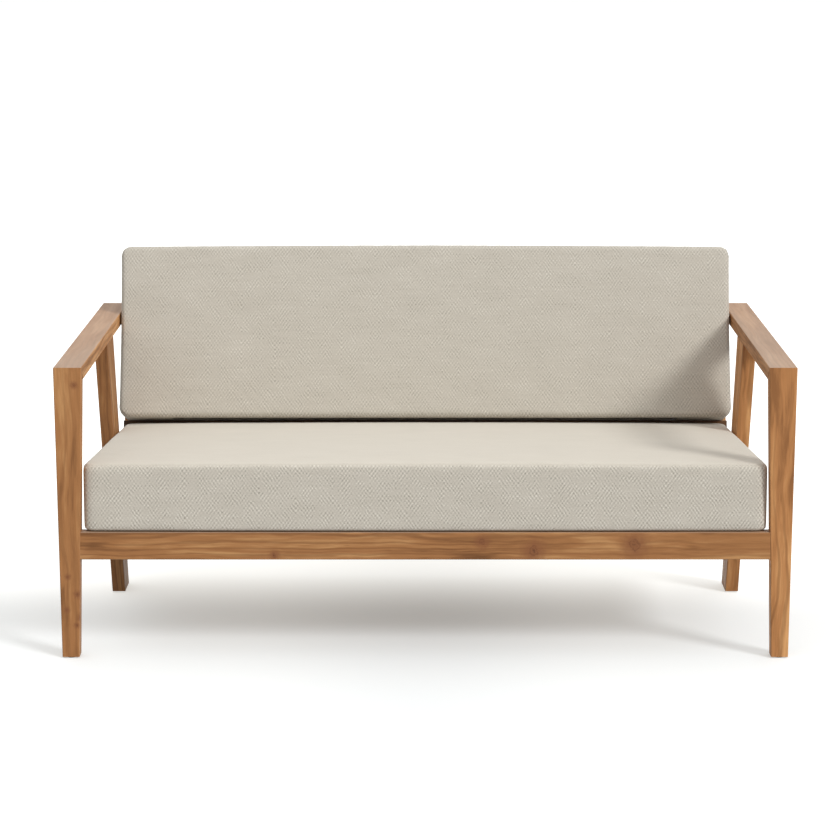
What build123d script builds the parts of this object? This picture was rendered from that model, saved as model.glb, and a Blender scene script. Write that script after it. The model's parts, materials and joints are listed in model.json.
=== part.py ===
from build123d import *

import os
from math import asin, cos, degrees, radians, sin, tan

# Patio loveseat: an oiled hardwood frame with one loose seat cushion and one loose back cushion.
# Millimetres and degrees. X runs to the right seen from the front, Y to the back and Z up. The
# origin is on the floor under the middle of the loveseat. Setbacks are counted backwards from
# the front face of the front legs.

# Arms
overall_width = 1550.0
arm_top_height = 632.0
arm_thickness = 30.0
arm_width = 59.0
arm_end_margin = 18.7

# Front legs, upright on the outside and tapering to the foot on the inside
front_leg_depth = 30.0
front_foot_width = 36.5

# Rear legs, raked backwards, tapering, and leaning in towards the foot
rear_leg_thickness = 30.0
rear_leg_top_setback = 419.5
rear_leg_top_depth = 105.0
rear_foot_setback = 493.0
rear_foot_depth = 73.0
rear_foot_lean = 15.2

# Seat frame, whose side rails fall towards the back
seat_angle = 4.2
seat_height = 279.2
rail_height = 59.4
front_rail_thickness = 29.0
front_rail_setback = 1.0
front_rail_drop = 2.2
side_rail_thickness = 30.0
side_rail_end = 690.0
rear_rail_thickness = 28.0

# Seat slats and what carries them
slat_count = 6
slat_width = 75.0
slat_thickness = 16.0
slat_end_gap = 1.0
slat_row_margin = 5.0
slat_notch_depth = 6.0
slat_chamfer = 1.5
cleat_width = 25.0
cleat_height = 25.0
bearer_width = 30.0
bearer_offset = 230.0
corner_block_leg = 60.0

# Back frame, reclined between the arms
back_angle = 19.0
back_foot_setback = 683.0
back_foot_height = 363.0
back_frame_thickness = 30.0
stile_width = 30.0
back_frame_rise = 67.5
top_rail_height = 55.0
bottom_rail_top = 8.0
bottom_rail_height = 55.0
back_slat_count = 9
back_slat_width = 60.0
back_slat_thickness = 14.0
back_slat_recess = 6.0
back_slat_tenon = 12.0
ledge_end_gap = 5.0
ledge_depth = 57.0
ledge_thickness = 20.0

# Tenons, loose tenons and the eased edges of the boards
rail_tenon_thickness = 10.0
rail_tenon_height = 38.0
rail_tenon_length = 25.0
stile_tenon_height = 35.0
stile_tenon_length = 20.0
leg_tenon_thickness = 14.0
leg_tenon_depth = 66.0
leg_tenon_height = 20.0
mitre_tenon_width = 20.0
mitre_tenon_thickness = 6.0
mitre_tenon_reach = 14.0
mitre_tenon_spacing = 28.0
loose_tenon_width = 22.0
loose_tenon_thickness = 8.0
loose_tenon_reach = 20.0
loose_tenon_spacing = 28.0
ledge_tenon_count = 5
joint_clearance = 0.2
edge_rounding = 2.0
end_chamfer = 1.0
board_angle_tolerance = 12.0
halfway_share = 0.5

# Wood screws in the cleats, and sunk coach screws in the rear legs and armrests
screw_radius = 2.0
screw_head_radius = 4.0
screw_head_height = 2.5
screw_clearance = 0.1
cleat_screw_length = 45.0
cleat_screw_count = 2
coach_radius = 3.5
coach_head_radius = 6.0
coach_head_height = 4.5
coach_reach = 16.0
coach_sink = 6.0
coach_bore_radius = 9.0
leg_screw_spacing = 40.0
leg_screw_rise = 12.0
hexagon_sides = 6

# Foot glides
glide_radius = 11.0
glide_thickness = 2.5
glide_peg_radius = 3.0
glide_peg_length = 14.0

# Cushions: near is the front edge of the seat cushion and the bottom edge of the back cushion
cushion_rest_gap = 0.3
seat_cushion_front_ease = 6.5
seat_cushion_rear_gap = 10.5
seat_cushion_side_draw = 5.0
seat_cushion_start = 2.5
seat_cushion_ledge_gap = 3.2
seat_cushion_edge_height = 144.0
seat_cushion_crown = 7.0
seat_cushion_front_swell = 2.0
back_cushion_side_gap = 3.0
back_cushion_side_draw = 3.0
back_cushion_length = 396.0
back_cushion_edge_height = 126.0
back_cushion_crown = 8.0
back_cushion_top_swell = 3.0
cushion_corner_radius = 22.0
cushion_edge_chamfer = 7.0
chamfer_inset_share = 0.586
crown_short_way_share = 0.6
barrel_width_share = 1.2
cover_thickness = 1.5
wrap_thickness = 8.0
filling_gap = 0.3

# Zips of the covers, and their sliders
zip_end_margin = 126.0
zip_width = 9.0
zip_thickness = 0.8
seat_zip_height = 70.0
back_zip_height = 98.0
slider_length = 11.0
slider_width = 8.0
slider_thickness = 3.0
slider_chamfer = 1.0
slider_gap = 0.3
pull_length = 24.0
pull_width = 5.0
pull_thickness = 1.4
pull_hole_radius = 1.4

# How far a cutting shape runs past what it cuts
cut_overrun = 5.0

# Places worked out from the sizes above
lean = radians(back_angle)
fall = radians(seat_angle)
arm_outer = overall_width / 2
arm_inner = arm_outer - arm_width
arm_underside = arm_top_height - arm_thickness
back_frame_top = (arm_top_height - back_foot_height) / cos(lean) + back_frame_rise
back_reach = back_foot_setback + back_frame_top * sin(lean) + back_frame_thickness * cos(lean)
arm_screw_height = arm_top_height - arm_thickness / 2
arm_screw_setback = (
    back_foot_setback
    + (arm_screw_height - back_foot_height) * tan(lean)
    + back_frame_thickness / 2 / cos(lean)
)
arm_length = arm_screw_setback + arm_end_margin
overall_depth = max(arm_length, back_reach)
front = -overall_depth / 2
side_rail_inner = arm_inner - side_rail_thickness
side_rail_middle = arm_inner - side_rail_thickness / 2
front_rail_back = front + front_rail_setback + front_rail_thickness
front_rail_top = seat_height - front_rail_drop
front_rail_middle = front_rail_top - rail_height / 2
front_rail_bottom = front_rail_top - rail_height
rear_rail_front = side_rail_end - rear_rail_thickness
bearer_height = rail_height - slat_thickness
bearer_middle = -slat_thickness - bearer_height / 2
stile_inner = arm_inner - stile_width
ledge_half_width = arm_inner - ledge_end_gap
zip_length = 2 * (arm_inner - zip_end_margin)
front_leg_taper = (arm_width - front_foot_width) / arm_top_height
mitre_length = (arm_thickness**2 + front_leg_depth**2) ** 0.5

# The plane of the slats' upper faces, the plane of the back frame's front face with Y up the
# recline, and the plane of the right mitre with Y down it
seat_plane = Plane(
    origin=(0, front, seat_height), x_dir=(1, 0, 0), z_dir=(0, sin(fall), cos(fall))
)
back_plane = Plane(
    origin=(0, front + back_foot_setback, back_foot_height),
    x_dir=(1, 0, 0),
    z_dir=(0, -cos(lean), sin(lean)),
)
mitre_plane = Plane(
    origin=(0, front, arm_top_height), x_dir=(1, 0, 0), z_dir=(0, arm_thickness, front_leg_depth)
)

# The seat cushion reaches back to the lower front corner of the ledge
ledge_top = -cushion_rest_gap
ledge_middle = ledge_top - ledge_thickness / 2
ledge_corner = back_plane.from_local_coords((0, ledge_top - ledge_thickness, ledge_depth))
seat_cushion_rear = seat_plane.to_local_coords(ledge_corner).Y - seat_cushion_ledge_gap
seat_cushion_length = seat_cushion_rear - seat_cushion_start


def save(piece, name):
    """Labels a finished piece and writes it."""
    piece.label = name
    export_step(piece, f"parts/{name}.step")


def save_pair(piece, name):
    """Writes a piece of the right side, and its mirror image for the left side."""
    with BuildPart() as left_piece:
        mirror(piece, about=Plane.YZ)
    save(piece, f"{name}_right")
    save(left_piece.part, f"{name}_left")


def seat_surface(setback, drop=0.0):
    """Height of the seat plane, or of a plane a drop below it, at a setback."""
    return seat_height - drop / cos(fall) - setback * tan(fall)


def front_leg_inner(height):
    """X of the right front leg's inner face at a height."""
    return arm_inner + front_leg_taper * (arm_top_height - height)


def rear_leg_section(height):
    """Inner X, front Y and depth of the right rear leg at a height."""
    rise_share = height / arm_underside
    inner = arm_inner - rear_foot_lean * (1 - rise_share)
    setback = rear_foot_setback + (rear_leg_top_setback - rear_foot_setback) * rise_share
    depth = rear_foot_depth + (rear_leg_top_depth - rear_foot_depth) * rise_share
    return inner, front + setback, depth


def long_edges(part, direction):
    """The edges that run along a board, or within a few degrees of it."""
    nearly_along = cos(radians(board_angle_tolerance))
    return [e for e in part.edges() if abs((e % halfway_share).dot(Vector(direction))) > nearly_along]


def cut_holes(planes, radius, depth):
    """Cuts a round hole on each plane's origin, along the plane's normal."""
    for plane in planes:
        with BuildSketch(plane) as hole:
            Circle(radius)
        extrude(hole.sketch, amount=depth, mode=Mode.SUBTRACT)


def cut_mortises(planes):
    """Cuts the loose tenons' mortises, which run both ways from each joint."""
    width = loose_tenon_width + 2 * joint_clearance
    thickness = loose_tenon_thickness + 2 * joint_clearance
    depth = loose_tenon_reach + joint_clearance
    for plane in planes:
        with BuildSketch(plane) as mortise:
            Rectangle(width, thickness)
        extrude(mortise.sketch, amount=depth, both=True, mode=Mode.SUBTRACT)


def loose_tenons(planes):
    """Loose tenons as one group, each across the joint on a plane."""
    with BuildPart() as group:
        for plane in planes:
            with BuildSketch(plane):
                Rectangle(loose_tenon_width, loose_tenon_thickness)
            extrude(amount=loose_tenon_reach, both=True)
    return group.part


def on_seat(place, across, direction):
    """A plane at a place counted along the seat plane, with its X and Z directions."""
    return Plane(origin=seat_plane.from_local_coords(place), x_dir=across, z_dir=direction)


def on_back(place, across, direction):
    """A plane at a place counted along the back plane, with its X and Z directions."""
    return Plane(origin=back_plane.from_local_coords(place), x_dir=across, z_dir=direction)


# The joints with loose tenons: of the seat frame, under the back frame's stiles, and of the ledge
sides = (-1, 1)
right, back_way, upright = (1, 0, 0), (0, 1, 0), (0, 0, 1)
side_rail_fronts = [
    Plane(
        origin=(
            side * side_rail_middle,
            front_rail_back,
            front_rail_middle + step * loose_tenon_spacing / 2,
        ),
        x_dir=upright,
        z_dir=back_way,
    )
    for side in sides
    for step in sides
]
bearer_front_height = seat_surface(front_rail_back - front, -bearer_middle)
bearer_fronts = [
    Plane(
        origin=(side * bearer_offset, front_rail_back, bearer_front_height),
        x_dir=upright,
        z_dir=back_way,
    )
    for side in sides
]
bearer_rears = [
    on_seat(
        (side * bearer_offset, rear_rail_front, bearer_middle), seat_plane.z_dir, seat_plane.y_dir
    )
    for side in sides
]
rear_rail_middle = side_rail_end - rear_rail_thickness / 2
rear_rail_ends = [
    on_seat(
        (
            side * side_rail_inner,
            rear_rail_middle,
            -rail_height / 2 + step * loose_tenon_spacing / 2,
        ),
        seat_plane.z_dir,
        right,
    )
    for side in sides
    for step in sides
]
stile_foot = (seat_surface(back_foot_setback) - back_foot_height) / (
    cos(lean) + sin(lean) * tan(fall)
)
stile_foot_middle = stile_foot + back_frame_thickness / 2 * tan(lean - fall)
stile_feet = [
    on_back(
        (side * side_rail_middle, stile_foot_middle, -back_frame_thickness / 2),
        right,
        back_plane.y_dir,
    )
    for side in sides
]
ledge_tenon_pitch = 2 * ledge_half_width / (ledge_tenon_count + 1)
ledge_joints = [
    on_back(
        (ledge_tenon_pitch * (step + 1) - ledge_half_width, ledge_middle, 0),
        right,
        back_plane.z_dir,
    )
    for step in range(ledge_tenon_count)
]

# The slats' middles along the seat plane, and the screws of the right cleat
cleat_front = front_rail_back - front
cleat_middle = side_rail_inner - cleat_width / 2
cleat_screw_pitch = (rear_rail_front - cleat_front) / (cleat_screw_count + 1)
slat_first = cleat_front + slat_row_margin + slat_width / 2
slat_last = rear_rail_front - slat_row_margin - slat_width / 2
slat_middles = [
    slat_first + (slat_last - slat_first) * row / (slat_count - 1) for row in range(slat_count)
]
cleat_screws = [
    on_seat(
        (
            side_rail_inner - cleat_width,
            cleat_front + cleat_screw_pitch * (step + 1),
            -slat_thickness - cleat_height / 2,
        ),
        seat_plane.y_dir,
        right,
    )
    for step in range(cleat_screw_count)
]

# The coach screws from the right side rail into the rear leg, and from the stile into the arm
leg_front_at_rail, leg_depth_at_rail = rear_leg_section(front_rail_bottom)[1:]
leg_screw_setback = leg_front_at_rail + leg_depth_at_rail / 2 - front
leg_screws = [
    on_seat(
        (
            side_rail_inner,
            leg_screw_setback + step * leg_screw_spacing / 2,
            leg_screw_rise - rail_height,
        ),
        seat_plane.y_dir,
        right,
    )
    for step in sides
]
arm_screws = [
    Plane(
        origin=(stile_inner, front + arm_screw_setback, arm_screw_height),
        x_dir=back_way,
        z_dir=right,
    )
]


def cut_coach_holes(planes, grip):
    """Cuts the coach screws' bores, shank holes and pilot holes, from the heads' side."""
    cut_holes(planes, coach_bore_radius, coach_head_height + coach_sink)
    cut_holes(planes, coach_radius + joint_clearance, grip + coach_reach + joint_clearance)


def paired_screws(planes, sink, head, head_height, shank_radius, reach):
    """Screws on both sides as one group, their heads drawn by head at a sink in each plane."""
    with BuildPart() as group:
        for plane in planes:
            with BuildSketch(plane.offset(sink)):
                head()
            extrude(amount=head_height)
            with BuildSketch(plane.offset(sink + head_height)):
                Circle(shank_radius)
            extrude(amount=reach - sink - head_height)
        mirror(about=Plane.YZ)
    return group.part


def cut_peg_hole(foot_middle):
    """Cuts the hole of a foot glide's peg into the leg being built."""
    with BuildSketch(Plane(origin=(*foot_middle, glide_thickness))) as hole:
        RegularPolygon(glide_peg_radius + joint_clearance, hexagon_sides)
    extrude(hole.sketch, amount=glide_peg_length + joint_clearance, mode=Mode.SUBTRACT)


def mitre_tenon_outlines(clearance):
    """Draws the loose tenons of the right mitre, or their mortises, in the sketch being built."""
    middle = arm_outer - arm_width / 2
    places = [(middle + step * mitre_tenon_spacing / 2, mitre_length / 2) for step in sides]
    with Locations(*places):
        Rectangle(mitre_tenon_width + 2 * clearance, mitre_tenon_thickness + 2 * clearance)


def cut_mitre_mortises():
    """Cuts the loose tenons' mortises into the leg or the arm being built."""
    with BuildSketch(mitre_plane) as mortises:
        mitre_tenon_outlines(joint_clearance)
    depth = mitre_tenon_reach + joint_clearance
    extrude(mortises.sketch, amount=depth, both=True, mode=Mode.SUBTRACT)


def leg_tenon_outline(clearance):
    """Draws the tenon on the right rear leg, or its mortise, in the sketch being built."""
    middle = (
        arm_inner + rear_leg_thickness / 2,
        front + rear_leg_top_setback + rear_leg_top_depth / 2,
    )
    with Locations(middle):
        Rectangle(leg_tenon_thickness + 2 * clearance, leg_tenon_depth + 2 * clearance)


def side_rail_outline():
    """Draws the side rail seen from the side, in the sketch being built."""
    begin = front_rail_back - front
    top_end = side_rail_end * cos(fall)
    bottom_end = top_end - rail_height * sin(fall)
    with BuildLine() as outline:
        Polyline(
            (front + begin, seat_surface(begin)),
            (front + top_end, seat_surface(top_end)),
            (front + bottom_end, seat_surface(bottom_end, rail_height)),
            (front + begin, seat_surface(begin, rail_height)),
            close=True,
        )
    make_face(outline.edges())


os.makedirs("parts", exist_ok=True)

# Front legs
front_foot_inner = front_leg_inner(glide_thickness)
front_foot_middle = ((front_foot_inner + arm_outer) / 2, front + front_leg_depth / 2)
with BuildPart() as front_leg:
    with BuildSketch(Plane.XZ.offset(-front - front_leg_depth)):
        with BuildLine():
            Polyline(
                (arm_inner, arm_top_height),
                (arm_outer, arm_top_height),
                (arm_outer, glide_thickness),
                (front_foot_inner, glide_thickness),
                close=True,
            )
        make_face()
    extrude(amount=front_leg_depth)
    fillet(long_edges(front_leg.part, upright), edge_rounding)
    split(bisect_by=mitre_plane, keep=Keep.BOTTOM)
    cut_mitre_mortises()
    with BuildSketch(Plane.YZ.offset(arm_inner)):
        with Locations((front_rail_back - front_rail_thickness / 2, front_rail_middle)):
            Rectangle(
                rail_tenon_thickness + 2 * joint_clearance, rail_tenon_height + 2 * joint_clearance
            )
    extrude(
        amount=front_leg_inner(front_rail_middle) - arm_inner + rail_tenon_length + joint_clearance,
        mode=Mode.SUBTRACT,
    )
    cut_peg_hole(front_foot_middle)
save_pair(front_leg.part, "front_leg")

# Armrests, mitred to the front legs
with BuildPart() as armrest:
    with BuildSketch(Plane.XY.offset(arm_underside)):
        with Locations((arm_inner, front)):
            Rectangle(arm_width, arm_length, align=Align.MIN)
    extrude(amount=arm_thickness)
    fillet(long_edges(armrest.part, back_way), edge_rounding)
    chamfer(armrest.faces().sort_by(Axis.Y)[-1].edges(), end_chamfer)
    split(bisect_by=mitre_plane, keep=Keep.TOP)
    cut_mitre_mortises()
    with BuildSketch(Plane.XY.offset(arm_underside)):
        leg_tenon_outline(joint_clearance)
    extrude(amount=leg_tenon_height + joint_clearance, mode=Mode.SUBTRACT)
    cut_coach_holes(arm_screws, stile_width)
save_pair(armrest.part, "armrest")

# Loose tenons in the mitres
with BuildPart() as mitre_tenons:
    with BuildSketch(mitre_plane):
        mitre_tenon_outlines(0)
    extrude(amount=mitre_tenon_reach, both=True)
    mirror(about=Plane.YZ)
save(mitre_tenons.part, "mitre_tenons")

# Rear legs: a taper that rakes and leans at once, tenoned into the arm and housing the side rail
foot_inner, foot_front, foot_depth = rear_leg_section(glide_thickness)
rear_foot_middle = (foot_inner + rear_leg_thickness / 2, foot_front + foot_depth / 2)
top_inner, top_front, top_depth = rear_leg_section(arm_underside)
with BuildPart() as rear_leg:
    with BuildSketch(Plane.YZ.offset(foot_inner)):
        with BuildLine():
            Polyline(
                (foot_front, glide_thickness),
                (foot_front + foot_depth, glide_thickness),
                (top_front + top_depth, arm_underside),
                (top_front, arm_underside),
                close=True,
            )
        make_face()
    extrude(amount=rear_foot_lean + rear_leg_thickness)
    with BuildSketch(Plane.XZ.offset(-top_front)):
        with BuildLine():
            Polyline(
                (foot_inner, glide_thickness),
                (foot_inner + rear_leg_thickness, glide_thickness),
                (top_inner + rear_leg_thickness, arm_underside),
                (top_inner, arm_underside),
                close=True,
            )
        make_face()
    extrude(amount=-2 * rear_foot_setback, mode=Mode.INTERSECT)
    fillet(long_edges(rear_leg.part, upright), edge_rounding)
    with BuildSketch(Plane.XY.offset(arm_underside)):
        leg_tenon_outline(0)
    extrude(amount=leg_tenon_height)
    with BuildSketch(Plane.YZ.offset(arm_inner)):
        side_rail_outline()
        offset(amount=joint_clearance, kind=Kind.INTERSECTION)
    extrude(amount=-rear_foot_lean - cut_overrun, mode=Mode.SUBTRACT)
    cut_coach_holes(leg_screws, side_rail_thickness)
    cut_peg_hole(rear_foot_middle)
save_pair(rear_leg.part, "rear_leg")

# Foot glides, each with a peg that is driven into the leg
with BuildPart() as foot_glides:
    with BuildSketch(Plane.XY):
        with Locations(front_foot_middle, rear_foot_middle):
            Circle(glide_radius)
    extrude(amount=glide_thickness)
    with BuildSketch(Plane.XY.offset(glide_thickness)):
        with Locations(front_foot_middle, rear_foot_middle):
            RegularPolygon(glide_peg_radius, hexagon_sides)
    extrude(amount=glide_peg_length)
    mirror(about=Plane.YZ)
save(foot_glides.part, "foot_glides")

# Front rail, its ends cut to the legs' taper and tenoned into them
with BuildPart() as front_rail:
    with BuildSketch(Plane.XZ.offset(-front_rail_back)):
        with BuildLine():
            Polyline(
                (-front_leg_inner(front_rail_bottom), front_rail_bottom),
                (front_leg_inner(front_rail_bottom), front_rail_bottom),
                (front_leg_inner(front_rail_top), front_rail_top),
                (-front_leg_inner(front_rail_top), front_rail_top),
                close=True,
            )
        make_face()
    extrude(amount=front_rail_thickness)
    fillet(long_edges(front_rail.part, right), edge_rounding)
    with BuildSketch(Plane.XZ.offset(front_rail_thickness / 2 - front_rail_back)):
        with Locations((0, front_rail_middle)):
            Rectangle(
                2 * (front_leg_inner(front_rail_middle) + rail_tenon_length), rail_tenon_height
            )
    extrude(amount=rail_tenon_thickness / 2, both=True)
    cut_mortises(side_rail_fronts + bearer_fronts)
save(front_rail.part, "front_rail")

# Side rails, falling to the back
with BuildPart() as side_rail:
    with BuildSketch(Plane.YZ.offset(side_rail_inner)):
        side_rail_outline()
    extrude(amount=side_rail_thickness)
    cut_mortises(side_rail_fronts + rear_rail_ends + stile_feet)
    cut_coach_holes(leg_screws, side_rail_thickness)
    cut_holes(cleat_screws, screw_radius + screw_clearance, cleat_screw_length + screw_clearance)
save_pair(side_rail.part, "side_rail")

# Rear rail
with BuildPart() as rear_rail:
    with BuildSketch(seat_plane):
        with Locations((0, rear_rail_middle)):
            Rectangle(2 * side_rail_inner, rear_rail_thickness)
    extrude(amount=-rail_height)
    cut_mortises(bearer_rears + rear_rail_ends)
save(rear_rail.part, "rear_rail")

# Bearers under the middle of the slats, whose front ends are cut upright
with BuildPart() as bearer:
    with BuildSketch(seat_plane.offset(-slat_thickness)):
        with Locations((bearer_offset, rear_rail_front / 2)):
            Rectangle(bearer_width, rear_rail_front)
    extrude(amount=-bearer_height)
    split(bisect_by=Plane.XZ.offset(-front_rail_back), keep=Keep.BOTTOM)
    cut_mortises(bearer_fronts + bearer_rears)
save_pair(bearer.part, "seat_bearer")

# Cleats inside the side rails, notched for the slats' ends
with BuildPart() as cleat:
    with BuildSketch(seat_plane.offset(slat_notch_depth - slat_thickness)):
        with Locations((cleat_middle, rear_rail_front / 2)):
            Rectangle(cleat_width, rear_rail_front)
    extrude(amount=-slat_notch_depth - cleat_height)
    split(bisect_by=Plane.XZ.offset(-front_rail_back), keep=Keep.BOTTOM)
    with BuildSketch(seat_plane.offset(-slat_thickness)):
        with Locations(*[(cleat_middle, y) for y in slat_middles]):
            Rectangle(cleat_width, slat_width + 2 * joint_clearance)
    extrude(amount=slat_notch_depth, mode=Mode.SUBTRACT)
    cut_holes(cleat_screws, screw_radius + screw_clearance, cleat_width)
save_pair(cleat.part, "seat_cleat")

# Blocks glued into the corners of the seat frame, under the cleats
with BuildPart() as corner_blocks:
    for corner, reach in ((cleat_front, corner_block_leg), (rear_rail_front, -corner_block_leg)):
        with BuildSketch(seat_plane.offset(-slat_thickness - cleat_height)):
            with BuildLine():
                Polyline(
                    (side_rail_inner, corner),
                    (side_rail_inner, corner + reach),
                    (side_rail_inner - corner_block_leg, corner),
                    close=True,
                )
            make_face()
        extrude(amount=slat_thickness + cleat_height - rail_height)
    split(bisect_by=Plane.XZ.offset(-front_rail_back), keep=Keep.BOTTOM)
    mirror(about=Plane.YZ)
save(corner_blocks.part, "corner_blocks")

# Seat slats
for row, y in enumerate(slat_middles):
    with BuildPart() as slat:
        with BuildSketch(seat_plane):
            with Locations((0, y)):
                Rectangle(2 * (side_rail_inner - slat_end_gap), slat_width)
        extrude(amount=-slat_thickness)
        chamfer(long_edges(slat.part, right), slat_chamfer)
    save(slat.part, f"seat_slat_{row + 1}")

# Stiles of the back frame, standing on the side rails
with BuildPart() as stile:
    with BuildSketch(back_plane):
        with Locations((stile_inner, stile_foot - back_frame_thickness)):
            Rectangle(
                stile_width, back_frame_top - stile_foot + back_frame_thickness, align=Align.MIN
            )
    extrude(amount=-back_frame_thickness)
    fillet(long_edges(stile.part, back_plane.y_dir), edge_rounding)
    split(bisect_by=seat_plane, keep=Keep.TOP)
    rail_middles = (back_frame_top - top_rail_height / 2, bottom_rail_top - bottom_rail_height / 2)
    with BuildSketch(back_plane.offset(-back_frame_thickness / 2)):
        with Locations(*[(stile_inner, y) for y in rail_middles]):
            Rectangle(
                2 * (stile_tenon_length + joint_clearance), stile_tenon_height + 2 * joint_clearance
            )
    extrude(amount=rail_tenon_thickness / 2 + joint_clearance, both=True, mode=Mode.SUBTRACT)
    cut_mortises(stile_feet)
    cut_coach_holes(arm_screws, stile_width)
save_pair(stile.part, "back_stile")


def back_slat_outlines(clearance):
    """Draws the back slats' ends, seen along them, in the sketch being built."""
    pitch = 2 * stile_inner / back_slat_count
    depth_middle = -back_slat_recess - back_slat_thickness / 2
    with Locations((0, depth_middle)):
        with GridLocations(pitch, 0, back_slat_count, 1):
            Rectangle(back_slat_width + 2 * clearance, back_slat_thickness + 2 * clearance)


def back_rail(middle, height, mortise_face, mortise_way):
    """A rail of the back frame, tenoned into the stiles and mortised for the slats."""
    with BuildPart() as rail:
        with BuildSketch(back_plane):
            with Locations((0, middle)):
                Rectangle(2 * stile_inner, height)
        extrude(amount=-back_frame_thickness)
        fillet(long_edges(rail.part, right), edge_rounding)
        with BuildSketch(back_plane.offset(-back_frame_thickness / 2)):
            with Locations((0, middle)):
                Rectangle(2 * (stile_inner + stile_tenon_length), stile_tenon_height)
        extrude(amount=rail_tenon_thickness / 2, both=True)
        with BuildSketch(slat_plane.offset(-mortise_face)):
            back_slat_outlines(joint_clearance)
        extrude(amount=mortise_way * (back_slat_tenon + joint_clearance), mode=Mode.SUBTRACT)
    return rail


# The plane across the back slats, facing down them, with its Y to the front
slat_plane = Plane(origin=back_plane.origin, x_dir=(1, 0, 0), z_dir=-back_plane.y_dir)
top_rail_bottom = back_frame_top - top_rail_height

top_rail = back_rail(rail_middles[0], top_rail_height, top_rail_bottom, -1)
save(top_rail.part, "back_top_rail")

bottom_rail = back_rail(rail_middles[1], bottom_rail_height, bottom_rail_top, 1)
with BuildPart() as mortised_bottom_rail:
    add(bottom_rail.part)
    cut_mortises(ledge_joints)
save(mortised_bottom_rail.part, "back_bottom_rail")

# Back slats
with BuildPart() as back_slats:
    with BuildSketch(slat_plane.offset(back_slat_tenon - bottom_rail_top)):
        back_slat_outlines(0)
    extrude(amount=bottom_rail_top - top_rail_bottom - 2 * back_slat_tenon)
    chamfer(long_edges(back_slats.part, back_plane.y_dir), slat_chamfer)
for number, back_slat in enumerate(back_slats.solids().sort_by(Axis.X)):
    save(Part() + back_slat, f"back_slat_{number + 1}")

# Ledge under the back cushion
with BuildPart() as ledge:
    with BuildSketch(back_plane):
        with Locations((0, ledge_middle)):
            Rectangle(2 * ledge_half_width, ledge_thickness)
    extrude(amount=ledge_depth)
    fillet(long_edges(ledge.part, right), edge_rounding)
    cut_mortises(ledge_joints)
save(ledge.part, "back_ledge")

# Loose tenons
frame_joints = side_rail_fronts + bearer_fronts + bearer_rears + rear_rail_ends + stile_feet
save(loose_tenons(frame_joints), "frame_tenons")
save(loose_tenons(ledge_joints), "ledge_tenons")


def coach_head():
    """Draws the hexagonal head of a coach screw, in the sketch being built."""
    RegularPolygon(coach_head_radius, hexagon_sides)


def screw_head():
    """Draws the head of a wood screw, in the sketch being built."""
    Circle(screw_head_radius)


def save_coach_screws(planes, grip, name):
    """Writes a group of coach screws, which hold a board of a thickness."""
    reach = grip + coach_reach
    group = paired_screws(planes, coach_sink, coach_head, coach_head_height, coach_radius, reach)
    save(group, name)


save_coach_screws(leg_screws, side_rail_thickness, "leg_screws")
save_coach_screws(arm_screws, stile_width, "arm_screws")
cleat_screw_group = paired_screws(
    cleat_screws, -screw_head_height, screw_head, screw_head_height, screw_radius, cleat_screw_length
)
save(cleat_screw_group, "cleat_screws")


def crown_barrel(base, middle, half_width, length, edge_height, crown):
    """A barrel whose upper side is a cushion's crowned face, for cutting the cushion out."""
    short_rise = crown * crown_short_way_share
    radius = (length**2 / 4 + short_rise**2) / 2 / short_rise
    half_turn = degrees(asin(barrel_width_share * length / 2 / radius))
    spine = Axis(base.from_local_coords((0, middle, edge_height + short_rise - radius)), base.x_dir)
    across = Plane(
        origin=base.from_local_coords((0, middle, 0)), x_dir=base.x_dir, z_dir=-base.y_dir
    )
    with BuildPart() as barrel:
        with BuildSketch(across) as profile:
            with BuildLine():
                ThreePointArc(
                    (-half_width, edge_height + short_rise),
                    (0, edge_height + crown),
                    (half_width, edge_height + short_rise),
                )
                Polyline(
                    (half_width, edge_height + short_rise),
                    (half_width, -cut_overrun),
                    (-half_width, -cut_overrun),
                    (-half_width, edge_height + short_rise),
                )
            make_face()
        turned = profile.sketch.rotate(spine, -half_turn)
        revolve(turned, axis=spine, revolution_arc=2 * half_turn, mode=Mode.REPLACE)
    return barrel.part


def cushion_edge(begin, end, swell):
    """Draws a straight or gently swelling edge of a cushion, in the line being built."""
    if swell:
        middle = (Vector(begin) + Vector(end)) / 2 + Vector(0, swell)
        ThreePointArc(begin, middle, end)
    else:
        Line(begin, end)


def cushion_form(base, start, length, halves, draw, swells, edge_height, crown, inset, easing):
    """A boxed cushion on a plane: sides drawn in, corners rounded, edges eased, its face crowned.

    halves and swells are given for the near and the far edge, and inset draws all faces in.
    """
    near, far = start + inset, start + length - inset
    near_half, far_half = halves[0] - inset, halves[1] - inset
    waist = (near_half + far_half) / 2 - draw
    middle = (near + far) / 2
    barrel = crown_barrel(
        base.offset(inset), middle, max(near_half, far_half) + cut_overrun, far - near,
        edge_height - 2 * inset, crown,
    )
    with BuildPart() as form:
        with BuildSketch(base.offset(inset)) as outline:
            with BuildLine():
                cushion_edge((-near_half, near), (near_half, near), -swells[0])
                ThreePointArc((near_half, near), (waist, middle), (far_half, far))
                cushion_edge((far_half, far), (-far_half, far), swells[1])
                ThreePointArc((-far_half, far), (-waist, middle), (-near_half, near))
            make_face()
            fillet(outline.vertices(), cushion_corner_radius - inset)
        extrude(amount=edge_height + crown)
        add(barrel, mode=Mode.INTERSECT)
        if easing:
            stacked = form.faces().sort_by(Axis(base.origin, base.z_dir))
            chamfer(stacked[0].edges() + stacked[-1].edges(), easing)
    return form.part


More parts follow.
